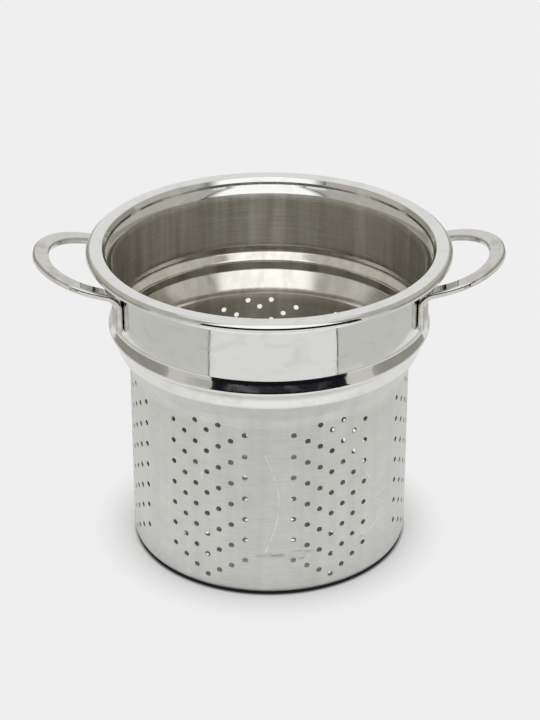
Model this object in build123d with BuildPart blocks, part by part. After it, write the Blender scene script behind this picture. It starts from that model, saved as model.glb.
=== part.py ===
from math import cos, radians, sin, tan
import os

from build123d import *

os.makedirs("parts", exist_ok=True)

# A strainer insert for a pasta pot: one deep-drawn shell of stainless sheet with two welded loop
# handles. Millimetres, +Z up, origin under the middle of the base. The handles lie along X.

# Sheet
sheet = 0.8  # thickness of the drawn sheet

# Basket. Heights are stacked from the base up, and diameters and steps are outside sizes.
basket_diameter = 206.0
base_edge_radius = 7.0  # round between base and wall
wall_height = 144.3  # straight wall, up to the corner where the cone starts
cone_height = 16.7
cone_step = 9.4  # how far the cone widens the basket on each side
cone_foot_bend = 22.0
knee_bend = 3.0
neck_height = 7.2
neck_step = 0.4
neck_bend = 4.0

# Bead that rests on the pot: its underside widens to an edge, and its flank falls back to the
# polished collar above it
bead_height = 5.8
bead_width = 5.4
bead_bend = 3.0  # at the edge
flank_height = 8.0
flank_step = 4.0
flank_bend = 10.0  # where the flank meets the collar
collar_height = 42.2

# Flare that carries the lid, the wall round the lid, the mouth above it, and the rolled rim
flare_height = 5.2
flare_step = 5.2
flare_bend = 13.2
seat_height = 2.1
seat_bend = 0.8  # this bend and the next two are on the middle of the sheet
mouth_height = 3.5
mouth_step = 1.9
mouth_bend = 0.8
mouth_edge_bend = 0.8
rim_width = 11.9
lip_depth = 4.8
lip_bend = 3.7
lip_edge_bend = 1.0
lip_return = 3.0  # how far the rolled edge comes back under the rim

# Holes in the wall, in groups of columns round the basket. Angles are in degrees from the front.
hole_diameter = 4.0
group_angles = (-26.7, 24.7, 78.7, 132.6, 183.2, 233.2, 283.3)
row_pitch = 17.27
top_row_drop = 5.6  # from the corner at the foot of the cone down to the first row
wall_hole_margin = 3.0  # least sheet between the base edge and a hole
# The columns on each side of the middle of a group, with the middle one first: angle from that
# middle, start below the first row as a share of the pitch, and the most holes in the column
column_angles = (0.0, 5.1, 10.3, 16.0)
column_start_shares = (1 / 3, 0.0, 2 / 3, 1 / 3)
column_hole_counts = (8, 8, 7, 7)

# Holes in the base, on rings round one in the middle
ring_pitch = 17.0
first_ring_holes = 6
base_hole_margin = 4.0  # least sheet between the base edge and a hole

# Handles: a flat bar with rounded edges
bar_width = 11.6
bar_thickness = 5.0
bar_edge_radius = 1.8
leg_angle = 21.5  # degrees, from the X axis to each leg
leg_foot_rise = 4.6  # from the foot of the collar up to the foot of a leg
leg_foot_round = 1.7
leg_height = 26.6  # from the foot of a leg to the corner where it turns outwards
leg_bend = 10.0
bend_lead = 1.0  # stretch below the bend that takes part in the twist
twist_length = 3.5  # stretch past the bend over which the bar comes level
twist_sections = 14
handle_reach = 38.3  # from the rim out to the tip of a handle
loop_rise = 15.2  # from the corner of a leg up to the tip
shoulder_spread = 3.1  # how much wider the loop is at its shoulder than at a leg, on each side
loop_round_share = 0.97  # of the largest round that fits the loop

# Spot welds, two on each leg
weld_gap = 0.3  # the weld metal holds the leg this far off the collar
weld_diameter = 5.0
weld_spacing = 9.0

touch_clearance = 0.1  # between the weld metal and the collar
overrun = 5.0  # how far a cutting tool passes the sheet on each side

# Outside radii and heights of the shell
half_sheet = sheet / 2
basket_radius = basket_diameter / 2
knee_radius = basket_radius + cone_step
neck_radius = knee_radius + neck_step
bead_radius = neck_radius + bead_width
collar_radius = bead_radius - flank_step
seat_radius = collar_radius + flare_step
mouth_radius = seat_radius + mouth_step
rim_radius = mouth_radius - sheet + rim_width
knee_height = wall_height + cone_height
neck_top = knee_height + neck_height
bead_edge = neck_top + bead_height
collar_foot = bead_edge + flank_height
collar_top = collar_foot + collar_height
seat_foot = collar_top + flare_height
mouth_foot = seat_foot + seat_height
total_height = mouth_foot + mouth_height
lip_bottom = total_height - lip_depth

# Middle line of the sheet from the axis to the rolled edge, and the bend at each of its corners
middle_line = (
    (0, half_sheet),
    (basket_radius - half_sheet, half_sheet),
    (basket_radius - half_sheet, wall_height),
    (knee_radius - half_sheet, knee_height),
    (neck_radius - half_sheet, neck_top),
    (bead_radius - half_sheet, bead_edge),
    (collar_radius - half_sheet, collar_foot),
    (collar_radius - half_sheet, collar_top),
    (seat_radius - half_sheet, seat_foot),
    (seat_radius - half_sheet, mouth_foot),
    (mouth_radius - half_sheet, total_height - half_sheet),
    (rim_radius - half_sheet, total_height - half_sheet),
    (rim_radius - half_sheet, lip_bottom + half_sheet),
    (rim_radius - lip_edge_bend - lip_return, lip_bottom + half_sheet),
)
middle_bends = (
    base_edge_radius - half_sheet,
    cone_foot_bend + half_sheet,
    knee_bend - half_sheet,
    neck_bend + half_sheet,
    bead_bend - half_sheet,
    flank_bend + half_sheet,
    flare_bend + half_sheet,
    seat_bend,
    mouth_bend,
    mouth_edge_bend,
    lip_bend - half_sheet,
    lip_edge_bend - half_sheet,
)


def wall_hole_planes():
    """Planes on the wall that face outwards, one at each hole."""
    first_row = wall_height - top_row_drop
    lowest_row = base_edge_radius + wall_hole_margin + hole_diameter / 2
    columns = list(zip(column_angles, column_start_shares, column_hole_counts))
    columns += [(-angle, shift, most) for angle, shift, most in columns if angle]
    for group in group_angles:
        for angle, shift, most in columns:
            turn = radians(group + angle)
            outwards = Vector(sin(turn), -cos(turn), 0)
            for row in range(most):
                height = first_row - (row + shift) * row_pitch
                if height >= lowest_row:
                    yield Plane(outwards * basket_radius + Vector(0, 0, height), z_dir=outwards)


with BuildPart() as strainer_shell:
    with BuildSketch(Plane.XZ):
        with BuildLine():
            FilletPolyline(*middle_line, radius=middle_bends)
        trace(line_width=sheet)
    revolve(axis=Axis.Z)

    with Locations(*wall_hole_planes()):
        Cylinder(hole_diameter / 2, sheet + 2 * overrun, mode=Mode.SUBTRACT)

    flat_radius = basket_radius - base_edge_radius - base_hole_margin - hole_diameter / 2
    with BuildSketch() as base_holes:
        Circle(hole_diameter / 2)
        for ring in range(1, int(flat_radius / ring_pitch) + 1):
            with PolarLocations(ring * ring_pitch, ring * first_ring_holes):
                Circle(hole_diameter / 2)
    extrude(amount=sheet + overrun, mode=Mode.SUBTRACT)
strainer_shell.part.label = "strainer_shell"
export_step(strainer_shell.part, "parts/strainer_shell.step")

# Corners of the bar's middle line on one half of the right handle, from a foot to the tip
leg_radius = collar_radius + weld_gap + bar_thickness / 2
leg_outwards = Vector(cos(radians(leg_angle)), sin(radians(leg_angle)), 0)
leg_across = Vector(-sin(radians(leg_angle)), cos(radians(leg_angle)), 0)
leg_foot = collar_foot + leg_foot_rise
foot = leg_outwards * leg_radius + Vector(0, 0, leg_foot)
corner = foot + Vector(0, 0, leg_height)
tip_radius = rim_radius + handle_reach - bar_width / 2
shoulder = Vector(tip_radius, corner.Y + shoulder_spread, corner.Z + loop_rise)
tip = Vector(shoulder.X, 0, shoulder.Z)

# The leg's bend, the round of the loop, and the direction of the bar's width in the loop
run = shoulder - corner
leg_turn = radians((corner - foot).get_angle(run))
loop_turn = radians(run.get_angle(tip - shoulder))
bend_length = leg_bend * tan(leg_turn / 2)
loop_room = min((tip - shoulder).length, run.length - bend_length - twist_length)
loop_bend = loop_round_share * loop_room / tan(loop_turn / 2)
run_across = (tip - shoulder).cross(run).cross(run).normalized()
straight_leg = leg_height - bend_length - bend_lead
twist_start = foot + Vector(0, 0, straight_leg)
twist_end = corner + run.normalized() * (bend_length + twist_length)


def bar_plane(place, along):
    """Plane square to the bar. Its X direction, the bar's width, lies along the collar where the
    twist starts and in the plane of the loop where it ends, and turns smoothly between them."""
    share = (place - twist_start).length / (twist_end - twist_start).length
    eased = share * share * (3 - 2 * share)
    width = leg_across * (1 - eased) + run_across * eased
    return Plane(place, x_dir=width - along * width.dot(along), z_dir=along)


with BuildPart() as right_handle:
    with BuildSketch(Plane(foot, x_dir=leg_across, z_dir=corner - foot)):
        RectangleRounded(bar_width, bar_thickness, bar_edge_radius)
    extrude(amount=straight_leg)
    fillet(right_handle.edges().group_by(Axis.Z)[0], leg_foot_round)

    with BuildLine() as twist_line:
        FilletPolyline(twist_start, corner, twist_end, radius=leg_bend)
    twist = twist_line.wire()
    for section in range(twist_sections + 1):
        length = twist.length * section / twist_sections
        place = twist.position_at(length, PositionMode.LENGTH)
        along = twist.tangent_at(length, PositionMode.LENGTH)
        with BuildSketch(bar_plane(place, along)):
            RectangleRounded(bar_width, bar_thickness, bar_edge_radius)
    loft()

    with BuildLine() as loop_line:
        FilletPolyline(twist_end, shoulder, tip, radius=loop_bend)
    with BuildSketch(Plane(twist_end, x_dir=run_across, z_dir=run)):
        RectangleRounded(bar_width, bar_thickness, bar_edge_radius)
    sweep(path=loop_line.wire())
    mirror(about=Plane.XZ)
right_handle.part.label = "right_handle"
export_step(right_handle.part, "parts/right_handle.step")

with BuildPart() as left_handle:
    mirror(right_handle.part, about=Plane.YZ)
left_handle.part.label = "left_handle"
export_step(left_handle.part, "parts/left_handle.step")


def weld_planes():
    """Planes in the middle of the collar's sheet that face outwards, one at each spot weld of the
    right handle."""
    for leg in (-1, 1):
        outwards = Vector(leg_outwards.X, leg * leg_outwards.Y, 0)
        for spot in (-1, 1):
            height = leg_foot + straight_leg / 2 + spot * weld_spacing / 2
            place = outwards * (collar_radius - half_sheet) + Vector(0, 0, height)
            yield Plane(place, z_dir=outwards)


with BuildPart() as right_handle_welds:
    standing = (Align.CENTER, Align.CENTER, Align.MIN)
    with Locations(*weld_planes()):
        Cylinder(weld_diameter / 2, half_sheet + weld_gap, align=standing)
    Cylinder(collar_radius + touch_clearance, total_height, align=standing, mode=Mode.SUBTRACT)
right_handle_welds.part.label = "right_handle_welds"
export_step(right_handle_welds.part, "parts/right_handle_welds.step")

with BuildPart() as left_handle_welds:
    mirror(right_handle_welds.part, about=Plane.YZ)
left_handle_welds.part.label = "left_handle_welds"
export_step(left_handle_welds.part, "parts/left_handle_welds.step")
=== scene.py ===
from math import ceil, cos, degrees, pi, radians, sin, tan

import bpy
import numpy as np
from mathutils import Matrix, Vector
from mathutils.geometry import delaunay_2d_cdt


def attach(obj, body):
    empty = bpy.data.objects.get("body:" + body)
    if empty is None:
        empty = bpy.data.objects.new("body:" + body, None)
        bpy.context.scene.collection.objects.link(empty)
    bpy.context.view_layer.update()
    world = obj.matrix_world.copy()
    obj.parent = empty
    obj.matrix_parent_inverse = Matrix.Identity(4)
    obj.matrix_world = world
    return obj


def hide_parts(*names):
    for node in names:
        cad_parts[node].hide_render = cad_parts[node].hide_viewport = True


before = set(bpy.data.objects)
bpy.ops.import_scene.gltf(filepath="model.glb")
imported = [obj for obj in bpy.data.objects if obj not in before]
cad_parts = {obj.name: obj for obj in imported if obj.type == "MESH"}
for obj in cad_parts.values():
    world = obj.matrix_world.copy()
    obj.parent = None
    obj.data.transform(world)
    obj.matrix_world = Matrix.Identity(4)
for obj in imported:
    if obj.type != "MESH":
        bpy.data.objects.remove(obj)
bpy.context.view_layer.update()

# Sizes are in millimetres and angles in degrees, as in the part. Meshes and materials get metres.
MM = 0.001

# Shell: the sheet, the basket, the bead that rests on the pot, the collar, the seat and the rim
SHEET = 0.8
BASKET_RADIUS = 103.0
BASE_EDGE = 7.0
WALL_HEIGHT = 144.3
CONE_HEIGHT, CONE_STEP, CONE_FOOT_BEND = 16.7, 9.4, 22.0
KNEE_BEND = 3.0
NECK_HEIGHT, NECK_STEP, NECK_BEND = 7.2, 0.4, 4.0
BEAD_HEIGHT, BEAD_WIDTH, BEAD_BEND = 5.8, 5.4, 3.0
FLANK_HEIGHT, FLANK_STEP, FLANK_BEND = 8.0, 4.0, 10.0
COLLAR_HEIGHT = 42.2
FLARE_HEIGHT, FLARE_STEP, FLARE_BEND = 5.2, 5.2, 13.2
SEAT_HEIGHT, SEAT_BEND = 2.1, 0.8
MOUTH_HEIGHT, MOUTH_STEP, MOUTH_BEND = 3.5, 1.9, 0.8
RIM_WIDTH, LIP_DEPTH, LIP_BEND, LIP_EDGE_BEND, LIP_RETURN = 11.9, 4.8, 3.7, 1.0, 3.0

# Holes in the wall: groups of columns, rows down each column
HOLE_RADIUS = 2.0
GROUP_ANGLES = (-26.7, 24.7, 78.7, 132.6, 183.2, 233.2, 283.3)
# Columns of a group: angle from its middle, thirds of the pitch below the first row, most holes
COLUMNS = (
    (-16.0, 1, 7),
    (-10.3, 2, 7),
    (-5.1, 0, 8),
    (0.0, 1, 8),
    (5.1, 0, 8),
    (10.3, 2, 7),
    (16.0, 1, 7),
)
ROW_PITCH = 17.27
TOP_ROW_DROP = 5.6
LOWEST_ROW = 12.0

# Holes in the base: one in the middle, and rings of them that each have six more than the last
RING_PITCH = 17.0
BASE_RINGS = 5
FIRST_RING_HOLES = 6

# Handles: a flat bar from a foot up the collar, round a bend, and out to the loop
BAR_WIDTH, BAR_THICKNESS, BAR_EDGE = 11.6, 5.0, 1.8
WELD_GAP = 0.3
LEG_ANGLE = 21.5
LEG_FOOT_RISE, LEG_FOOT_ROUND = 4.6, 1.7
LEG_HEIGHT, LEG_BEND = 26.6, 10.0
TWIST_LENGTH, BEND_LEAD = 3.5, 1.0
HANDLE_REACH, LOOP_RISE, SHOULDER_SPREAD = 38.3, 15.2, 3.1
LOOP_ROUND_SHARE = 0.97
LEAST_BAR_EDGE = 0.3  # what is left of the bar's rounded edge at the end of a foot

# Camera, fitted to the rims, the base and the rows of holes in the photo
CAMERA_ELEVATION = 27.87
CAMERA_TURN = 1.0  # to the left of the middle
CAMERA_DISTANCE = 1667.0
AIM_HEIGHT = 139.5
PHOTO_SIZE = (540, 720)
FOCAL_PIXELS = 2250.0
CENTRE_PIXEL = 269.28
SENSOR = 36.0
VIEW_REACH = 20000.0

# Colour of the table and of the room, and strength of the white light
PALE = "#EFEFEF"
LIGHT = 1.02

# Table: its outer and inner radius, the radii between which its shadow fades out, the share of
# plain colour beyond them, and the width of the painted contact shadow under the edge of the base
FLOOR_REACH, FLOOR_OPENING, FLOOR_DROP = 6000.0, 92.0, 0.3
SHADOW_FROM, SHADOW_TO = 101.0, 135.0
PLAIN_SHARE = 0.97
CONTACT_SHADOW_WIDTH = 2.8

# Marks on the basket: one long scratch, the heights over which the darker patches low on the front
# fade in and out, and how far forward both of them fade in
SCRATCH_TOP, SCRATCH_FOOT = 119.0, 35.0
SCRATCH_X, SCRATCH_BOW, SCRATCH_WIDTH = -5.5, 10.8, 0.8
DARK_PATCH_FOOT, DARK_PATCH_TOP = (20.0, 30.0), (36.0, 50.0)
MARKED_FRONT = (-80.0, -20.0)

# Fineness of the meshes: the most turn in one step of a bend, and numbers of steps and points
SHELL_STEP, BAR_STEP = 9.0, 6.0
ROLLED_EDGE_STEPS, BAR_EDGE_STEPS = 4, 5
FOOT_STATIONS, TWIST_STATIONS = 6, 15
BASE_HOLE_POINTS = 12
FLOOR_PARTS, CARD_PARTS = 96, 48
SAME_POINT, SAME_STATION, SAME_CORNER = 1e-6, 1e-3, 1e-5  # nearer than this counts as the same

# Names of the attributes that materials read
STRAIGHT = "straight_bar"
SHADE = "shade"


def rounded_path(corners, bends, most_turn):
    """Points and unit tangents of a line with circular bends.

    Each corner P between unit directions a and b, which turn by w, gets a bend of radius R that
    starts at P - a R tan(w/2). Its points are start + a R sin(t) + n R (1 - cos(t)), where n is
    the part of b square to a, and t runs from 0 to w in steps of at most most_turn degrees.
    """
    corners = np.array(corners, float)
    runs = np.diff(corners, axis=0)
    ways = runs / np.linalg.norm(runs, axis=1, keepdims=True)
    points, tangents = [corners[:1]], [ways[:1]]
    for corner, a, b, bend in zip(corners[1:], ways, ways[1:], bends):
        turn = np.arccos(a @ b)
        inwards = (b - a * (a @ b)) / sin(turn)
        steps = max(2, ceil(degrees(turn) / most_turn))
        t = np.linspace(0, turn, steps + 1)[:, None]
        start = corner - a * bend * tan(turn / 2)
        points.append(start + a * bend * np.sin(t) + inwards * bend * (1 - np.cos(t)))
        tangents.append(a * np.cos(t) + inwards * np.sin(t))
    points = np.concatenate(points + [corners[-1:]])
    tangents = np.concatenate(tangents + [ways[-1:]])
    apart = np.linalg.norm(np.diff(points, axis=0), axis=1) > SAME_POINT
    kept = np.append(True, apart)
    return points[kept], tangents[kept]


# Corners of the middle of the sheet as (radius, height), from the flat base to the rolled edge
HALF = SHEET / 2
KNEE_RADIUS = BASKET_RADIUS + CONE_STEP
NECK_RADIUS = KNEE_RADIUS + NECK_STEP
BEAD_RADIUS = NECK_RADIUS + BEAD_WIDTH
COLLAR_RADIUS = BEAD_RADIUS - FLANK_STEP
SEAT_RADIUS = COLLAR_RADIUS + FLARE_STEP
MOUTH_RADIUS = SEAT_RADIUS + MOUTH_STEP
RIM_RADIUS = MOUTH_RADIUS - SHEET + RIM_WIDTH
KNEE = WALL_HEIGHT + CONE_HEIGHT
NECK_TOP = KNEE + NECK_HEIGHT
BEAD_EDGE = NECK_TOP + BEAD_HEIGHT
COLLAR_FOOT = BEAD_EDGE + FLANK_HEIGHT
COLLAR_TOP = COLLAR_FOOT + COLLAR_HEIGHT
SEAT_FOOT = COLLAR_TOP + FLARE_HEIGHT
MOUTH_FOOT = SEAT_FOOT + SEAT_HEIGHT
TOTAL_HEIGHT = MOUTH_FOOT + MOUTH_HEIGHT
LIP_BOTTOM = TOTAL_HEIGHT - LIP_DEPTH
FLAT_RADIUS = BASKET_RADIUS - BASE_EDGE

MIDDLE_LINE = (
    (FLAT_RADIUS, HALF),
    (BASKET_RADIUS - HALF, HALF),
    (BASKET_RADIUS - HALF, WALL_HEIGHT),
    (KNEE_RADIUS - HALF, KNEE),
    (NECK_RADIUS - HALF, NECK_TOP),
    (BEAD_RADIUS - HALF, BEAD_EDGE),
    (COLLAR_RADIUS - HALF, COLLAR_FOOT),
    (COLLAR_RADIUS - HALF, COLLAR_TOP),
    (SEAT_RADIUS - HALF, SEAT_FOOT),
    (SEAT_RADIUS - HALF, MOUTH_FOOT),
    (MOUTH_RADIUS - HALF, TOTAL_HEIGHT - HALF),
    (RIM_RADIUS - HALF, TOTAL_HEIGHT - HALF),
    (RIM_RADIUS - HALF, LIP_BOTTOM + HALF),
    (RIM_RADIUS - LIP_EDGE_BEND - LIP_RETURN, LIP_BOTTOM + HALF),
)
MIDDLE_BENDS = (
    BASE_EDGE - HALF,
    CONE_FOOT_BEND + HALF,
    KNEE_BEND - HALF,
    NECK_BEND + HALF,
    BEAD_BEND - HALF,
    FLANK_BEND + HALF,
    FLARE_BEND + HALF,
    SEAT_BEND,
    MOUTH_BEND,
    MOUTH_BEND,
    LIP_BEND - HALF,
    LIP_EDGE_BEND - HALF,
)


def around(radius, height, turn):
    """Points at a radius and height, turned by so many degrees from the front towards +X."""
    t = np.radians(turn)
    return np.stack(np.broadcast_arrays(radius * np.sin(t), -radius * np.cos(t), height), axis=-1)


def between(first, second, closed=True):
    """Faces between rows of vertex numbers: corner n of one row is joined to corner n of the
    other and to n + 1 of each, along the last axis."""
    corners = (first, np.roll(first, -1, -1), np.roll(second, -1, -1), second)
    faces = np.stack(corners, axis=-1)
    return faces if closed else faces[..., :-1, :]


class Surface:
    """Arrays of vertices with their own normals, and of faces with their material's number."""

    def __init__(self):
        self.points, self.normals, self.faces, self.slots, self.count = [], [], [], [], 0

    def add(self, points, normals):
        """Takes in vertices and gives back their numbers in the same arrangement."""
        numbers = self.count + np.arange(points[..., 0].size).reshape(points.shape[:-1])
        self.points.append(points.reshape(-1, 3))
        self.normals.append(np.broadcast_to(normals, points.shape).reshape(-1, 3))
        self.count += numbers.size
        return numbers

    def face(self, corners, slots=0):
        """Takes in faces, each a row of vertex numbers."""
        corners = corners.reshape(-1, corners.shape[-1])
        self.faces.append(corners)
        self.slots.append(np.broadcast_to(slots, len(corners)))

    def put(self, name, materials):
        """The surface as an object at the origin, in metres. A face is turned over where its
        corners run against the normals of its vertices."""
        points = np.concatenate(self.points) * MM
        normals = np.concatenate(self.normals)
        normals = normals / np.linalg.norm(normals, axis=1, keepdims=True)
        faces = []
        for corners in self.faces:
            p = points[corners[:, :3]]
            facing = np.cross(p[:, 1] - p[:, 0], p[:, 2] - p[:, 1])
            wrong = (facing * normals[corners].sum(axis=1)).sum(axis=1) < 0
            faces += np.where(wrong[:, None], corners[:, ::-1], corners).tolist()
        mesh = bpy.data.meshes.new(name)
        mesh.from_pydata(points.tolist(), [], faces)
        for material in materials:
            mesh.materials.append(material)
        mesh.polygons.foreach_set("material_index", np.concatenate(self.slots))
        mesh.polygons.foreach_set("use_smooth", np.ones(len(faces), bool))
        mesh.normals_split_custom_set_from_vertices(normals.tolist())
        mesh.update()
        piece = bpy.data.objects.new(name, mesh)
        bpy.context.scene.collection.objects.link(piece)
        return piece


# Which material each part of the shell has
SATIN, POLISHED, BRUSHED_INSIDE, RUBBED_INSIDE, SATIN_INSIDE = range(5)
SATIN_TOP = 156.0  # height on the cone where the polish starts

# A hole takes a cell of the wall's grid, two rows high and four columns wide. These are the
# rows and columns of the twelve points round the cell, from its lower left corner.
CELL_PARTS = 4
CELL_ROW = ROW_PITCH / 6
CELL_ROWS = np.array((-1, -1, -1, -1, -1, 0, 1, 1, 1, 1, 1, 0))
CELL_COLUMNS = np.array((0, 1, 2, 3, 4, 4, 4, 3, 2, 1, 0, 0))
GAP_STRIPS = 3  # plain strips between two groups of holes
GRID_MARGIN = 1.0  # least wall between the base's edge and the grid
HOLE_ROUND = 0.25  # at the edge of a hole
TRIANGLES_INSIDE = 1  # asks delaunay_2d_cdt for the triangles inside its loops


def grid_turns(groups, angles):
    """Angles of the grid's columns. The edges between the strips lie halfway between columns of
    holes, and each strip has CELL_PARTS even parts."""
    halves = np.diff(angles) / 2
    edges = np.concatenate([[angles[0] - halves[0]], angles[1:] - halves, [angles[-1] + halves[-1]]])
    following = np.append(groups[1:], groups[0] + 360)
    gap = (following + edges[0] - groups - edges[-1])[:, None]
    in_gap = groups[:, None] + edges[-1] + gap * np.arange(GAP_STRIPS) / GAP_STRIPS
    strips = np.hstack([groups[:, None] + edges[:-1], in_gap]).ravel()
    widths = np.diff(np.append(strips, strips[0] + 360))
    return (strips[:, None] + widths[:, None] * np.arange(CELL_PARTS) / CELL_PARTS).ravel()


def drawn_shell():
    """The sheet as two surfaces of revolution, (r, z) = m(s) +/- n(s) SHEET / 2 with m the middle
    line and n square to it, on one grid of path and angle. In the wall the rows are a sixth of the
    pitch of the holes apart, and each hole takes a cell of that grid: its edge points are joined
    to a ring round the hole, and that to the same ring on the other side."""
    shell = Surface()
    path, tangents = rounded_path(MIDDLE_LINE, MIDDLE_BENDS, SHELL_STEP)
    line = np.column_stack([path, tangents[:, 1], -tangents[:, 0]])
    first_row = WALL_HEIGHT - TOP_ROW_DROP
    top = first_row + CELL_ROW
    wall_rows = int((top - BASE_EDGE - GRID_MARGIN) / CELL_ROW)
    heights = top - CELL_ROW * np.arange(wall_rows, -1, -1)
    rising = line[line[:, 1] < KNEE]

    def wall_at(height):
        """Radius, height and normal of the middle line at heights in the wall."""
        return np.stack([np.interp(height, rising[:, 1], rising[:, k]) for k in range(4)], axis=-1)

    low, high = line[line[:, 1] < heights[0]], line[line[:, 1] > top]
    outline = np.vstack([low, wall_at(heights), high])
    groups = np.sort(np.array(GROUP_ANGLES) % 360)
    angles, thirds, most = np.array(COLUMNS).T
    turns = grid_turns(groups, angles)

    def lay(rows, offset, turn, depth=HALF):
        """Vertices on one side of the sheet: offset is 1 outside and -1 inside."""
        r, z, nr, nz = np.moveaxis(rows, -1, 0)
        spots = around(r + offset * nr * depth, z + offset * nz * depth, turn)
        return spots, around(offset * nr, offset * nz, turn)

    outside = shell.add(*lay(outline[:, None], 1, turns))
    inside = shell.add(*lay(outline[:, None], -1, turns))

    # Holes in the wall: their cells, and the direction of each cell's edge point from the middle
    counts = (len(groups), len(angles), int(most.max()))
    group, column, row = (part.ravel() for part in np.indices(counts))
    z = first_row - (row + thirds[column] / 3) * ROW_PITCH
    kept = (row < most[column]) & (z >= LOWEST_ROW)
    group, column, z = group[kept], column[kept], z[kept][:, None]
    turn = (groups[group] + angles[column])[:, None]
    start = (group * (len(angles) + GAP_STRIPS) + column) * CELL_PARTS
    middle = len(low) + np.rint((z[:, 0] - heights[0]) / CELL_ROW).astype(int)
    cell_rows = middle[:, None] + CELL_ROWS
    cell_columns = (start[:, None] + CELL_COLUMNS) % len(turns)
    across = (turns[cell_columns] - turn + 180) % 360 - 180
    angle = np.arctan2(outline[cell_rows, 1] - z, np.radians(across) * BASKET_RADIUS)
    east = np.radians(turn)
    inwards = np.stack([-np.cos(angle) * np.cos(east), -np.cos(angle) * np.sin(east), -np.sin(angle)], -1)

    rims = []
    for offset, side, slot in ((1, outside, SATIN), (-1, inside, SATIN_INSIDE)):
        rings = [side[cell_rows, cell_columns]]
        for radius, depth in ((HOLE_RADIUS + HOLE_ROUND, HALF), (HOLE_RADIUS, HALF - HOLE_ROUND)):
            at = turn + np.degrees(radius * np.cos(angle) / BASKET_RADIUS)
            spots, facing = lay(wall_at(z + radius * np.sin(angle)), offset, at, depth)
            rings.append(shell.add(spots, facing if depth == HALF else inwards))
        shell.face(between(rings[0], rings[1]), slot)
        shell.face(between(rings[1], rings[2]), slot)
        rims.append(rings[2])
    shell.face(between(*rims), SATIN_INSIDE)

    # The sheet between the holes. Outside it is satin up to the cone and polished from there.
    # Inside it is satin in the basket, rubbed to the bead, brushed in the collar, then polished.
    taken = np.zeros((len(outline) - 1, len(turns)), bool)
    for part in range(CELL_PARTS):
        taken[middle, start + part] = True
        taken[middle - 1, start + part] = True
    z_middle = (outline[1:, 1] + outline[:-1, 1]) / 2
    outer_slots = np.where(z_middle > SATIN_TOP, POLISHED, SATIN)
    inner_slots = np.select(
        [z_middle > COLLAR_TOP, z_middle > COLLAR_FOOT, z_middle > WALL_HEIGHT],
        [POLISHED, BRUSHED_INSIDE, RUBBED_INSIDE],
        SATIN_INSIDE,
    )
    for side, slots in ((outside, outer_slots), (inside, inner_slots)):
        faces = between(side[:-1], side[1:])
        shell.face(faces[~taken], np.broadcast_to(slots[:, None], taken.shape)[~taken])

    # The rolled edge ends in a half round
    lean = (pi * np.arange(1, ROLLED_EDGE_STEPS) / ROLLED_EDGE_STEPS)[:, None]
    facing = outline[-1, 2:] * np.cos(lean) + tangents[-1] * np.sin(lean)
    spots = outline[-1, :2] + facing * HALF
    edge = shell.add(
        around(spots[:, :1], spots[:, 1:], turns),
        around(facing[:, :1], facing[:, 1:], turns),
    )
    edge = np.vstack([outside[-1:], edge, inside[-1:]])
    shell.face(between(edge[:-1], edge[1:]), POLISHED)

    # The flat base: rings of holes, with the sheet between them cut into triangles
    ring_numbers = np.arange(1, BASE_RINGS + 1)
    ring = np.repeat(ring_numbers, FIRST_RING_HOLES * ring_numbers)
    hole = np.arange(len(ring)) - FIRST_RING_HOLES * ring * (ring - 1) // 2
    a = 2 * pi * hole / (FIRST_RING_HOLES * ring)
    centres = np.stack([np.cos(a), np.sin(a)], -1) * ring[:, None] * RING_PITCH
    centres = np.vstack([[(0, 0)], centres])
    a = 2 * pi * (np.arange(BASE_HOLE_POINTS) + 0.5) / BASE_HOLE_POINTS
    circle = np.stack([np.cos(a), np.sin(a)], -1)
    lips = centres[:, None] + circle * (HOLE_RADIUS + HOLE_ROUND)
    flat = np.vstack([around(FLAT_RADIUS, 0, turns)[:, :2], lips.reshape(-1, 2)])
    loops = len(turns) + np.arange(lips[..., 0].size).reshape(-1, BASE_HOLE_POINTS)[:, ::-1]
    bounds = [list(range(len(turns)))] + loops.tolist()
    corners = list(map(Vector, flat.tolist()))
    cut = delaunay_2d_cdt(corners, [], bounds, TRIANGLES_INSIDE, SAME_CORNER)
    triangles = np.array(cut[2])
    spots = flat[triangles].mean(axis=1)
    reach = np.linalg.norm(spots[:, None] - centres, axis=-1).min(axis=1)
    triangles = triangles[reach > HOLE_RADIUS]
    rims = []
    for offset, side, slot in ((1, outside, SATIN), (-1, inside, SATIN_INSIDE)):
        deep = HALF - offset * (HALF - HOLE_ROUND)
        lip = np.insert(lips, 2, HALF - offset * HALF, axis=-1)
        lip = shell.add(lip, (0, 0, -offset))
        rim = np.insert(centres[:, None] + circle * HOLE_RADIUS, 2, deep, axis=-1)
        rim = shell.add(rim, np.insert(-circle, 2, 0, axis=-1))
        shell.face(np.append(side[0], lip)[triangles], slot)
        shell.face(between(lip, rim), slot)
        rims.append(rim)
    shell.face(between(*rims), SATIN_INSIDE)
    return shell


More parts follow.
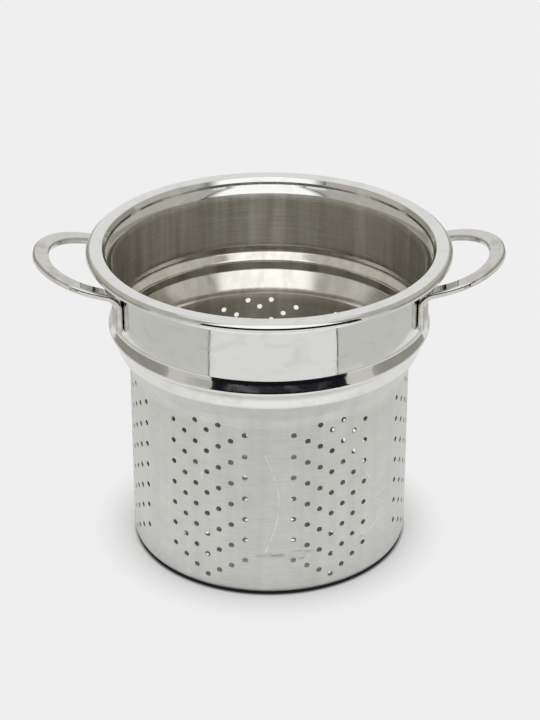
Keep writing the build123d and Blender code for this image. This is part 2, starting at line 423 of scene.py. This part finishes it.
def handle(side):
    """A rounded rectangle carried along the line foot - corner - shoulder - shoulder - corner -
    foot with round bends: p = c(s) + w(s) u + t(s) v, with (u, v) round the rectangle. Its width w
    turns from along the collar to the plane of the loop over the twist, by the ease q q (3 - 2 q).
    At a foot the rectangle draws in by R (1 - sqrt(1 - k k)), k being 1 at the end. Gives the
    surface and each vertex's place (s, u, v) in the straightened bar."""
    leg = radians(LEG_ANGLE)
    leg_radius = COLLAR_RADIUS + WELD_GAP + BAR_THICKNESS / 2
    foot = np.array((leg_radius * cos(leg), leg_radius * sin(leg), COLLAR_FOOT + LEG_FOOT_RISE))
    corner = foot + (0, 0, LEG_HEIGHT)
    tip_radius = RIM_RADIUS + HANDLE_REACH - BAR_WIDTH / 2
    shoulder = np.array((tip_radius, corner[1] + SHOULDER_SPREAD, corner[2] + LOOP_RISE))
    run_length = np.linalg.norm(shoulder - corner)
    run = (shoulder - corner) / run_length
    back = np.array((0, -1, 0))
    leg_turn = np.arccos(run[2])
    bend_length = LEG_BEND * tan(leg_turn / 2)
    loop_room = min(shoulder[1], run_length - bend_length - TWIST_LENGTH)
    loop_bend = LOOP_ROUND_SHARE * loop_room / tan(np.arccos(run @ back) / 2)
    flip = np.array((1, -1, 1))
    line = (foot, corner, shoulder, shoulder * flip, corner * flip, foot * flip)
    points, tangents = rounded_path(line, (LEG_BEND, loop_bend, loop_bend, LEG_BEND), BAR_STEP)

    # Stations: the path's own points, and more of them along the twists and at the feet
    reach = np.append(0, np.cumsum(np.linalg.norm(np.diff(points, axis=0), axis=1)))
    twist_from = LEG_HEIGHT - bend_length - BEND_LEAD
    twist_to = LEG_HEIGHT - bend_length + LEG_BEND * leg_turn + TWIST_LENGTH
    ends = LEG_FOOT_ROUND * (1 - np.cos(np.linspace(0, pi / 2, FOOT_STATIONS)))
    more = np.concatenate([ends, np.linspace(twist_from, twist_to, TWIST_STATIONS)])
    stations = np.sort(np.concatenate([reach, more, reach[-1] - more]))
    s = stations[np.append(True, np.diff(stations) > SAME_STATION)][:, None]
    spot = np.hstack([np.interp(s, reach, points[:, k]) for k in range(3)])
    along = np.hstack([np.interp(s, reach, tangents[:, k]) for k in range(3)])
    along /= np.linalg.norm(along, axis=1, keepdims=True)

    # The direction of the width at each station
    half = np.minimum(s, reach[-1] - s)
    share = np.clip((half - twist_from) / (twist_to - twist_from), 0, 1)
    eased = share * share * (3 - 2 * share)
    first = s < reach[-1] / 2
    leg_width = np.array((-sin(leg), cos(leg), 0))
    run_width = np.cross(np.cross(back, run), run)
    run_width /= np.linalg.norm(run_width)
    twisted = leg_width * (1 - eased) + run_width * eased
    twisted = np.where(first, twisted, twisted * flip)
    width = np.where(share < 1, twisted, np.cross(np.cross(run, run_width), along))
    width -= along * (width * along).sum(axis=1, keepdims=True)
    width /= np.linalg.norm(width, axis=1, keepdims=True)
    thick = np.cross(along, width)

    # The rectangle with rounded corners, drawn in at the feet
    lean = np.clip(1 - half / LEG_FOOT_ROUND, 0, 1)
    inset = LEG_FOOT_ROUND * (1 - np.sqrt(1 - lean * lean))
    edge = np.maximum(BAR_EDGE - inset, LEAST_BAR_EDGE)
    quarter = np.repeat(np.arange(4), BAR_EDGE_STEPS + 1)
    a = pi / 2 * (quarter + np.tile(np.arange(BAR_EDGE_STEPS + 1), 4) / BAR_EDGE_STEPS)
    u_way, v_way = np.cos(a), np.sin(a)
    u = np.array((1, -1, -1, 1))[quarter] * (BAR_WIDTH / 2 - inset - edge) + u_way * edge
    v = np.array((1, 1, -1, -1))[quarter] * (BAR_THICKNESS / 2 - inset - edge) + v_way * edge
    mirror = (side, 1, 1)
    spots = spot[:, None] + width[:, None] * u[..., None] + thick[:, None] * v[..., None]
    level = width[:, None] * u_way[:, None] + thick[:, None] * v_way[:, None]
    outwards = np.where(first, -along, along) * lean
    facing = level * np.sqrt(1 - lean * lean)[..., None] + outwards[:, None]
    bar = Surface()
    numbers = bar.add(spots * mirror, facing * mirror)
    bar.face(between(numbers[:-1], numbers[1:]))
    bar.face(numbers[[0, -1]])
    return bar, np.stack(np.broadcast_arrays(s, u, v), axis=-1)


def colour(hexed):
    """An sRGB colour such as #AABBCC as linear red, green, blue and 1."""
    parts = [int(hexed[k : k + 2], 16) / 255 for k in (1, 3, 5)]
    return tuple(c / 12.92 if c <= 0.04045 else ((c + 0.055) / 1.055) ** 2.4 for c in parts) + (1.0,)


def node(tree, kind, links=None, **values):
    """A shader node. links maps inputs to sockets or values, and values set its properties."""
    made = tree.nodes.new(kind)
    for key, value in values.items():
        setattr(made, key, value)
    for key, value in (links or {}).items():
        if isinstance(value, bpy.types.NodeSocket):
            tree.links.new(value, made.inputs[key])
        else:
            made.inputs[key].default_value = value
    return made


def reckon(tree, operation, first, second=0.0):
    """One operation on one value or two."""
    return node(tree, "ShaderNodeMath", {0: first, 1: second}, operation=operation).outputs[0]


def metal(name, base, roughness):
    """Bare metal to add patterns to: the material, its tree, its shader and the place on it."""
    material = bpy.data.materials.new(name)
    material.use_nodes = True
    tree = material.node_tree
    shader = tree.nodes["Principled BSDF"]
    shader.inputs["Metallic"].default_value = 1.0
    shader.inputs["Base Color"].default_value = colour(base)
    shader.inputs["Roughness"].default_value = roughness
    place = node(tree, "ShaderNodeTexCoord").outputs["Object"]
    return material, tree, shader, place


def ring_place(tree, place):
    """(x, y, z + r): a pattern drawn fine along its third part makes level lines round a turned
    sheet, on its walls, cones and flats alike."""
    level = node(tree, "ShaderNodeVectorMath", {0: place, 1: (1, 1, 0)}, operation="MULTIPLY")
    radius = node(tree, "ShaderNodeVectorMath", {0: level.outputs[0]}, operation="LENGTH")
    x, y, z = node(tree, "ShaderNodeSeparateXYZ", {0: place}).outputs
    joined = {0: x, 1: y, 2: reckon(tree, "ADD", z, radius.outputs["Value"])}
    return node(tree, "ShaderNodeCombineXYZ", joined).outputs[0]


def pattern(tree, place, size, detail=2.0, rough=0.5, swirl=0.0):
    """Noise whose marks have the given (x, y, z) sizes in millimetres."""
    scale = tuple(1 / (part * MM) for part in size)
    scaled = node(tree, "ShaderNodeVectorMath", {0: place, 1: scale}, operation="MULTIPLY")
    settings = {"Vector": scaled.outputs[0], "Scale": 1.0, "Detail": detail}
    settings.update({"Roughness": rough, "Distortion": swirl})
    return node(tree, "ShaderNodeTexNoise", settings).outputs["Fac"]


def spread(tree, value, low, high, to_low, to_high):
    """A value from low to high as one from to_low to to_high."""
    ends = {0: value, 1: low, 2: high, 3: to_low, 4: to_high}
    return node(tree, "ShaderNodeMapRange", ends).outputs[0]


def masked(tree, value, *masks):
    """A value times each mask."""
    for mask in masks:
        value = reckon(tree, "MULTIPLY", value, mask)
    return value


def scratches(tree, place, size, width, rarity):
    """Thin curved lines where a noise passes its middle, 1 on a line and 0 off it, kept only
    where a second noise, taken elsewhere, is above rarity."""
    value = pattern(tree, place, size, 1.0, 0.4, 0.3)
    off = reckon(tree, "ABSOLUTE", reckon(tree, "SUBTRACT", value, 0.5))
    line = spread(tree, off, 0.0, width, 1.0, 0.0)
    moved = node(tree, "ShaderNodeVectorMath", {0: place, 1: (3.1, 1.7, 2.3)})
    where = pattern(tree, moved.outputs[0], (45, 45, 45), 1.0)
    return reckon(tree, "MULTIPLY", line, spread(tree, where, rarity, rarity + 0.03, 0.0, 1.0))


def long_scratch(tree, place, x, z):
    """One bowed line down the front, 1 on it and 0 off it, fainter in places: its x is
    SCRATCH_X + SCRATCH_BOW sin(pi t), with t from 0 at its top to 1 at its foot."""
    down = spread(tree, z, SCRATCH_TOP * MM, SCRATCH_FOOT * MM, 0.0, 1.0)
    bow = reckon(tree, "SINE", reckon(tree, "MULTIPLY", down, pi))
    bow = total(tree, (bow, -SCRATCH_BOW * MM), (1.0, -SCRATCH_X * MM))
    off = reckon(tree, "ABSOLUTE", reckon(tree, "ADD", x, bow))
    line = spread(tree, off, 0.0, SCRATCH_WIDTH * MM, 1.0, 0.0)
    pressed = spread(tree, pattern(tree, place, (3, 3, 5), 1.0), 0.35, 0.6, 0.1, 1.0)
    inside = reckon(tree, "MULTIPLY", down, reckon(tree, "SUBTRACT", 1.0, down))
    return masked(tree, line, pressed, reckon(tree, "GREATER_THAN", inside, 0.01))


def blend(tree, factor, first, second):
    """A colour between two, which are hex colours or sockets."""
    ends = [colour(part) if isinstance(part, str) else part for part in (first, second)]
    mixed = node(tree, "ShaderNodeMix", {0: factor, 6: ends[0], 7: ends[1]}, data_type="RGBA")
    return mixed.outputs[2]


def total(tree, *terms):
    """The sum of (value, share) terms."""
    added = 0.0
    for value, share in terms:
        ends = {0: value, 1: share, 2: added}
        added = node(tree, "ShaderNodeMath", ends, operation="MULTIPLY_ADD").outputs[0]
    return added


def finish(tree, shader, height, depth, roughness=None, base=None):
    """Links a height with its depth in millimetres, and a roughness and a colour, to the shader."""
    bump = node(tree, "ShaderNodeBump", {"Height": height, "Strength": 1.0, "Distance": depth * MM})
    tree.links.new(bump.outputs[0], shader.inputs["Normal"])
    if roughness is not None:
        tree.links.new(roughness, shader.inputs["Roughness"])
    if base is not None:
        tree.links.new(base, shader.inputs["Base Color"])


def level_grain(shader, amount):
    """Spreads the reflections upright, as fine grooves round a turned sheet do."""
    shader.inputs["Anisotropic"].default_value = amount
    shader.inputs["Anisotropic Rotation"].default_value = 0.25


def satin_steel():
    """Stainless sheet rubbed with a fine abrasive as it turned: level grain about a tenth of a
    millimetre wide, drawn six times as coarse so that it shows, over a soft pale sheen. It has
    clouds and faint upright bands, a few bright handling scratches with one long one down the
    front, and a darker colour in patches low on the front."""
    material, tree, shader, place = metal("satin_brushed_stainless", "#ECECEA", 0.36)
    ring = ring_place(tree, place)
    grain = pattern(tree, ring, (18, 18, 0.6), 3.0, 0.65)
    clouds = pattern(tree, place, (22, 22, 16), 3.0, 0.6, 0.4)
    bands = pattern(tree, place, (9, 9, 160), 2.0, 0.5)
    lines = scratches(tree, place, (30, 30, 44), 0.0035, 0.58)
    tone = total(tree, (grain, 0.4), (clouds, 0.4), (bands, 0.2))
    base = blend(tree, spread(tree, tone, 0.36, 0.64, 0.0, 1.0), "#C9C9C5", "#E1E1DD")
    x, y, z = node(tree, "ShaderNodeSeparateXYZ", {0: place}).outputs
    front = spread(tree, y, MARKED_FRONT[0] * MM, MARKED_FRONT[1] * MM, 1.0, 0.0)
    lines = reckon(tree, "MAXIMUM", lines, masked(tree, long_scratch(tree, place, x, z), front))
    base = blend(tree, spread(tree, lines, 0.0, 1.0, 0.0, 0.7), base, "#FFFFFF")
    # A darker colour in patches low on the front of the basket, between two heights
    darker_front_patches = pattern(tree, ring, (16, 16, 3.5), 3.0, 0.6)
    patches = spread(tree, pattern(tree, place, (30, 30, 60), 1.0), 0.42, 0.56, 0.0, 1.0)
    above = spread(tree, z, DARK_PATCH_FOOT[0] * MM, DARK_PATCH_FOOT[1] * MM, 0.0, 1.0)
    below = spread(tree, z, DARK_PATCH_TOP[0] * MM, DARK_PATCH_TOP[1] * MM, 1.0, 0.0)
    darker_front_patches = masked(tree, darker_front_patches, above, below, front, patches)
    base = blend(tree, spread(tree, darker_front_patches, 0.5, 0.66, 0.0, 0.6), base, "#7E7E7C")
    rough = total(tree, (spread(tree, clouds, 0.3, 0.7, 0.33, 0.43), 1.0), (grain, 0.06), (lines, 0.1))
    finish(tree, shader, total(tree, (grain, 1.0), (lines, -0.5)), 0.035, rough, base)
    level_grain(shader, 0.4)
    return material


def polished_steel():
    """Drawn stainless sheet buffed to a mirror: the reflections waver with the slight waves left
    by the draw, buffing hairlines follow the turn, and finger marks are a little duller."""
    material, tree, shader, place = metal("mirror_buffed_stainless", "#E3E3E0", 0.05)
    ring = ring_place(tree, place)
    waves = pattern(tree, place, (24, 24, 34), 1.0, 0.4)
    hairs = pattern(tree, ring, (90, 90, 0.7), 1.0, 0.5)
    marks = pattern(tree, place, (20, 20, 14), 2.0, 0.5, 0.8)
    rough = total(tree, (spread(tree, marks, 0.45, 0.75, 0.045, 0.11), 1.0), (hairs, 0.03))
    base = blend(tree, spread(tree, marks, 0.5, 0.75, 0.0, 1.0), "#E4E4E1", "#D9D9D5")
    finish(tree, shader, total(tree, (waves, 1.0), (hairs, 0.004)), 0.16, rough, base)
    return material


def brushed_inside():
    """The inside of the collar, turned with a coarse abrasive and not buffed: a slightly warm
    grey with level grain, single bright scratches and soft upright bands."""
    material, tree, shader, place = metal("turned_stainless_inside", "#C8C4BA", 0.36)
    ring = ring_place(tree, place)
    grain = pattern(tree, ring, (30, 30, 0.7), 3.0, 0.65)
    cuts = pattern(tree, ring, (14, 14, 0.45), 1.0, 0.5)
    bands = pattern(tree, place, (7, 7, 120), 2.0, 0.55)
    bright = spread(tree, cuts, 0.66, 0.76, 0.0, 0.8)
    tone = total(tree, (grain, 0.45), (bands, 0.55))
    base = blend(tree, spread(tree, tone, 0.35, 0.65, 0.0, 1.0), "#B8B4A8", "#D8D5CB")
    base = blend(tree, bright, base, "#F4F1EA")
    rough = total(tree, (spread(tree, bands, 0.3, 0.7, 0.32, 0.42), 1.0), (grain, 0.05))
    finish(tree, shader, grain, 0.025, rough, base)
    level_grain(shader, 0.9)
    return material


def rubbed_inside():
    """The cone and the bead inside, smoother from the draw and rubbed only lightly: nearly a
    mirror, with level hairlines and soft upright bands that blur the lights."""
    material, tree, shader, place = metal("rubbed_stainless_inside", "#E4E2DA", 0.14)
    ring = ring_place(tree, place)
    grain = pattern(tree, ring, (40, 40, 0.7), 2.0, 0.6)
    bands = pattern(tree, place, (8, 8, 120), 2.0, 0.5)
    base = blend(tree, spread(tree, bands, 0.35, 0.65, 0.0, 1.0), "#DEDBD2", "#F0EEE8")
    rough = total(tree, (spread(tree, bands, 0.3, 0.7, 0.1, 0.18), 1.0), (grain, 0.04))
    finish(tree, shader, grain, 0.02, rough, base)
    return material


def satin_inside():
    """The inside of the basket, left as drawn and rubbed once: a duller, warmer grey with level
    grain and soft upright bands."""
    material, tree, shader, place = metal("satin_stainless_inside", "#C4C0B6", 0.36)
    ring = ring_place(tree, place)
    grain = pattern(tree, ring, (35, 35, 0.9), 2.0, 0.6)
    bands = pattern(tree, place, (8, 8, 140), 2.0, 0.5)
    tone = total(tree, (grain, 0.5), (bands, 0.5))
    base = blend(tree, spread(tree, tone, 0.35, 0.65, 0.0, 1.0), "#B6B2A6", "#D2CEC4")
    finish(tree, shader, grain, 0.025, spread(tree, bands, 0.3, 0.7, 0.32, 0.42), base)
    level_grain(shader, 0.85)
    return material


def polished_bar():
    """Flat stainless bar buffed along its length after bending: a mirror with fine hairlines
    along the bar, slow waves and duller finger marks. It reads the place in the straight bar."""
    material, tree, shader, _ = metal("mirror_buffed_bar", "#CDCBC6", 0.06)
    place = node(tree, "ShaderNodeAttribute", attribute_name=STRAIGHT).outputs["Vector"]
    hairs = pattern(tree, place, (40, 0.5, 0.5), 1.0, 0.5)
    waves = pattern(tree, place, (16, 9, 9), 1.0, 0.4)
    marks = pattern(tree, place, (12, 8, 8), 2.0, 0.5, 0.6)
    rough = total(tree, (spread(tree, marks, 0.45, 0.8, 0.025, 0.09), 1.0), (hairs, 0.04))
    base = blend(tree, spread(tree, marks, 0.45, 0.75, 0.0, 1.0), "#D4D2CD", "#BDB9B2")
    finish(tree, shader, total(tree, (waves, 1.0), (hairs, 0.01)), 0.12, rough, base)
    return material


def weld_metal():
    """Resistance weld squeezed out between a leg and the collar, left as it froze: dull, finely
    pitted, and tinted straw to brown by the heat."""
    material, tree, shader, place = metal("weld_metal", "#8A8478", 0.5)
    grain = pattern(tree, place, (0.6, 0.6, 0.6), 3.0, 0.6)
    tint = pattern(tree, place, (3, 3, 3), 1.0)
    base = blend(tree, spread(tree, tint, 0.35, 0.65, 0.0, 1.0), "#8C887F", "#8A7350")
    finish(tree, shader, grain, 0.1, spread(tree, grain, 0.3, 0.7, 0.4, 0.6), base)
    return material


bar_material = polished_bar()
shell = drawn_shell().put(
    "drawn_shell",
    [satin_steel(), polished_steel(), brushed_inside(), rubbed_inside(), satin_inside()],
)
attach(shell, "root")
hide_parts("strainer_shell")
for side, node_name in ((1, "right_handle"), (-1, "left_handle")):
    surface, straight = handle(side)
    bar = surface.put(node_name + "_bar", [bar_material])
    places = bar.data.attributes.new(STRAIGHT, "FLOAT_VECTOR", "POINT")
    places.data.foreach_set("vector", (straight * MM).ravel())
    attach(bar, "root")
    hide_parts(node_name)
weld_material = weld_metal()
for node_name in ("left_handle_welds", "right_handle_welds"):
    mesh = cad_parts[node_name].data
    mesh.materials.clear()
    mesh.materials.append(weld_material)


def shown_rays(tree):
    """1 for the rays that show the studio itself: to the camera, in a mirror or through glass."""
    rays = node(tree, "ShaderNodeLightPath").outputs
    mirrored = reckon(tree, "MAXIMUM", rays["Is Glossy Ray"], rays["Is Transmission Ray"])
    return reckon(tree, "MAXIMUM", rays["Is Camera Ray"], mirrored)


# World: pale where the camera, a mirror or a hole sees it, and white light on the object
world = bpy.data.worlds.new("studio")
bpy.context.scene.world = world
world.use_nodes = True
tree = world.node_tree
tree.nodes.clear()
pale = node(tree, "ShaderNodeBackground", {"Color": colour(PALE), "Strength": 1.0})
light = node(tree, "ShaderNodeBackground", {"Color": (1, 1, 1, 1), "Strength": LIGHT})
mixed = node(tree, "ShaderNodeMixShader", {0: shown_rays(tree), 1: light.outputs[0], 2: pale.outputs[0]})
node(tree, "ShaderNodeOutputWorld", {"Surface": mixed.outputs[0]})


def table(name, base, steady, near, far):
    """A matt surface with the object's shadow. Away from the object a share steady of it shows as
    its plain colour, so the shadow stays tight round the base, as on a brightly lit table: near
    and far are the radii between which that share grows. Just beyond near, under the edge of the
    base, a dark band is painted into its colour as a contact shadow. From below it is clear."""
    material = bpy.data.materials.new(name)
    material.use_nodes = True
    tree = material.node_tree
    tree.nodes.clear()
    place = node(tree, "ShaderNodeTexCoord").outputs["Object"]
    radius = node(tree, "ShaderNodeVectorMath", {0: place}, operation="LENGTH").outputs["Value"]
    share = spread(tree, radius, near * MM, far * MM, 0.0, steady)
    share = reckon(tree, "MULTIPLY", shown_rays(tree), share)
    # Painted contact shadow: the table's colour goes from dark #3C3E44 at near to its own colour over the
    # painted shadow's width
    painted_contact_shadow = spread(tree, radius, near * MM, (near + CONTACT_SHADOW_WIDTH) * MM, 0.0, 1.0)
    matt = node(tree, "ShaderNodeBsdfDiffuse", {"Color": blend(tree, painted_contact_shadow, "#3C3E44", base)})
    plain = node(tree, "ShaderNodeEmission", {"Color": colour(base), "Strength": 1.0})
    mixed = node(tree, "ShaderNodeMixShader", {0: share, 1: matt.outputs[0], 2: plain.outputs[0]})
    side = node(tree, "ShaderNodeNewGeometry").outputs["Backfacing"]
    clear = node(tree, "ShaderNodeBsdfTransparent").outputs[0]
    mixed = node(tree, "ShaderNodeMixShader", {0: side, 1: mixed.outputs[0], 2: clear})
    node(tree, "ShaderNodeOutputMaterial", {"Surface": mixed.outputs[0]})
    return material


def card(name, base, turns, outline, strength=1.0, edge=None, fade=0.0):
    """A card of the studio that only mirrors see: its outline of (radius, height) is swept between
    two turns from the front. It gives off one plain colour, which over the last degrees of each
    side, as many as fade says, goes over to the colour edge."""
    material = bpy.data.materials.new(name)
    material.use_nodes = True
    tree = material.node_tree
    tree.nodes.clear()
    shade = node(tree, "ShaderNodeAttribute", attribute_name=SHADE).outputs["Fac"]
    tone = blend(tree, shade, edge or base, base)
    emission = node(tree, "ShaderNodeEmission", {"Color": tone, "Strength": strength})
    node(tree, "ShaderNodeOutputMaterial", {"Surface": emission.outputs[0]})
    piece = Surface()
    sweep = np.linspace(*turns, CARD_PARTS)
    radius, height = np.array(outline, float).T[..., None]
    numbers = piece.add(around(radius, height, sweep), around(-1, 0, sweep))
    piece.face(between(numbers[:-1], numbers[1:], closed=False))
    made = piece.put(name, [material])
    inside = np.minimum(sweep - turns[0], turns[1] - sweep)
    share = np.clip(inside / fade, 0, 1) if fade else np.ones(CARD_PARTS)
    shades = made.data.attributes.new(SHADE, "FLOAT", "POINT")
    shades.data.foreach_set("value", np.tile(share, len(outline)))
    made.visible_camera = False
    made.visible_diffuse = False
    made.visible_shadow = False
    made.visible_transmission = False
    return made


# The table is open in the middle, so that light reaches the base in views from below
ground = Surface()
radii = np.array(((FLOOR_OPENING,), (FLOOR_REACH,)))
spots = around(radii, -FLOOR_DROP, np.linspace(0, 360, FLOOR_PARTS, endpoint=False))
ground.face(between(*ground.add(spots, (0, 0, 1))))
floor = ground.put("floor", [table("pale_table", PALE, PLAIN_SHARE, SHADOW_FROM, SHADOW_TO)])

# What the polished steel mirrors: a sheet of white paper on a grey table, a softbox over the dark
# front of the room, and pale walls. Turns are from the front, and outlines are (radius, height).
LEFT, RIGHT, ROOM_RIGHT, SIDE, BACK, TABLE_BACK = -39.5, 43.0, 52.0, 72.0, 163.0, 178.0
LINE, OVERLAP, PAPER_FADE = 0.8, 10.0, 20.0
PAPER = [(330, 1), (900, 1)]
PAPER_FRONT = [(335, 1.5), (440, 1.5)]
PAPER_LINE = [(440, 1.5), (900, 1.5)]
TABLE = [(430, 1), (900, 1)]
TABLE_LINE = [(900, 1.5), (920, 1.5)]
DARK_ROOM = [(900, 2), (1600, 2), (1600, 900)]
FRONT_BOX = [(1590, 900), (1590, 1600), (900, 1900), (0.1, 1900)]
LOW_WALL = [(1620, 2), (1620, 700)]
HIGH_WALL = [(1620, 700), (1620, 1600), (900, 1900)]
LOW_SIDE = [(1640, 2), (1640, 760)]
HIGH_SIDE = [(1640, 760), (1640, 1600), (900, 1920)]
GREY_TABLE, WALL, SIDE_WALL, DARK, DARK_LINE = "#D0D0CC", "#B9B7B1", "#9C9992", "#14161C", "#202226"
paper_sides = (LEFT - PAPER_FADE, RIGHT + PAPER_FADE)
left_side, right_side = (-BACK, OVERLAP - SIDE), (SIDE - OVERLAP, BACK)
cards = [
    card("paper", "#EDEEED", (LEFT, RIGHT), PAPER),
    card("paper_front", "#FFFFFF", paper_sides, PAPER_FRONT, edge=PALE, fade=15),
    # Painted shadows: thin dark cards at the two sides of the paper stand for the shade along its edges,
    # seen only in the steel
    card("paper_left_edge_shadow", DARK_LINE, (LEFT - LINE, LEFT), PAPER_LINE),
    card("paper_right_edge_shadow", DARK_LINE, (RIGHT, RIGHT + LINE), PAPER_LINE),
    card("left_table", GREY_TABLE, (-TABLE_BACK, LEFT), TABLE),
    card("right_table", GREY_TABLE, (RIGHT, TABLE_BACK), TABLE),
    card("table_edge", DARK_LINE, (-TABLE_BACK, TABLE_BACK), TABLE_LINE),
    card("dark_room", DARK, (LEFT, ROOM_RIGHT), DARK_ROOM),
    card("front_softbox", "#FFFFFF", (-46, 50), FRONT_BOX, strength=1.22, edge="#45443F", fade=11),
    card("left_wall", "#D2D0CA", (-SIDE, LEFT), LOW_WALL),
    card("right_wall", "#D6D4CE", (ROOM_RIGHT, SIDE), LOW_WALL),
    card("left_upper_wall", WALL, (-SIDE, LEFT), HIGH_WALL),
    card("right_upper_wall", WALL, (RIGHT, SIDE), HIGH_WALL),
    card("left_side", SIDE_WALL, left_side, LOW_SIDE, edge="#C8C6C0", fade=16),
    card("right_side", SIDE_WALL, right_side, LOW_SIDE, edge="#C8C6C0", fade=16),
    card("left_upper_side", "#BDBBB3", left_side, HIGH_SIDE, edge="#D6D4CF", fade=16),
    card("right_upper_side", "#BDBBB3", right_side, HIGH_SIDE, edge="#D6D4CF", fade=16),
]

# Camera at the photograph's angle
camera = bpy.data.cameras.new("camera")
camera.sensor_width = SENSOR
camera.lens = FOCAL_PIXELS * SENSOR / max(PHOTO_SIZE)
camera.shift_x = (PHOTO_SIZE[0] / 2 - CENTRE_PIXEL) / max(PHOTO_SIZE)
camera.clip_end = VIEW_REACH * MM
view = bpy.data.objects.new("camera", camera)
bpy.context.scene.collection.objects.link(view)
back = CAMERA_DISTANCE * cos(radians(CAMERA_ELEVATION))
height = AIM_HEIGHT + CAMERA_DISTANCE * sin(radians(CAMERA_ELEVATION))
position = Vector(around(back, height, -CAMERA_TURN)) * MM
view.location = position
view.rotation_euler = (Vector((0, 0, AIM_HEIGHT)) * MM - position).to_track_quat("-Z", "Y").to_euler()
bpy.context.scene.camera = view
bpy.context.scene.view_settings.view_transform = "Standard"
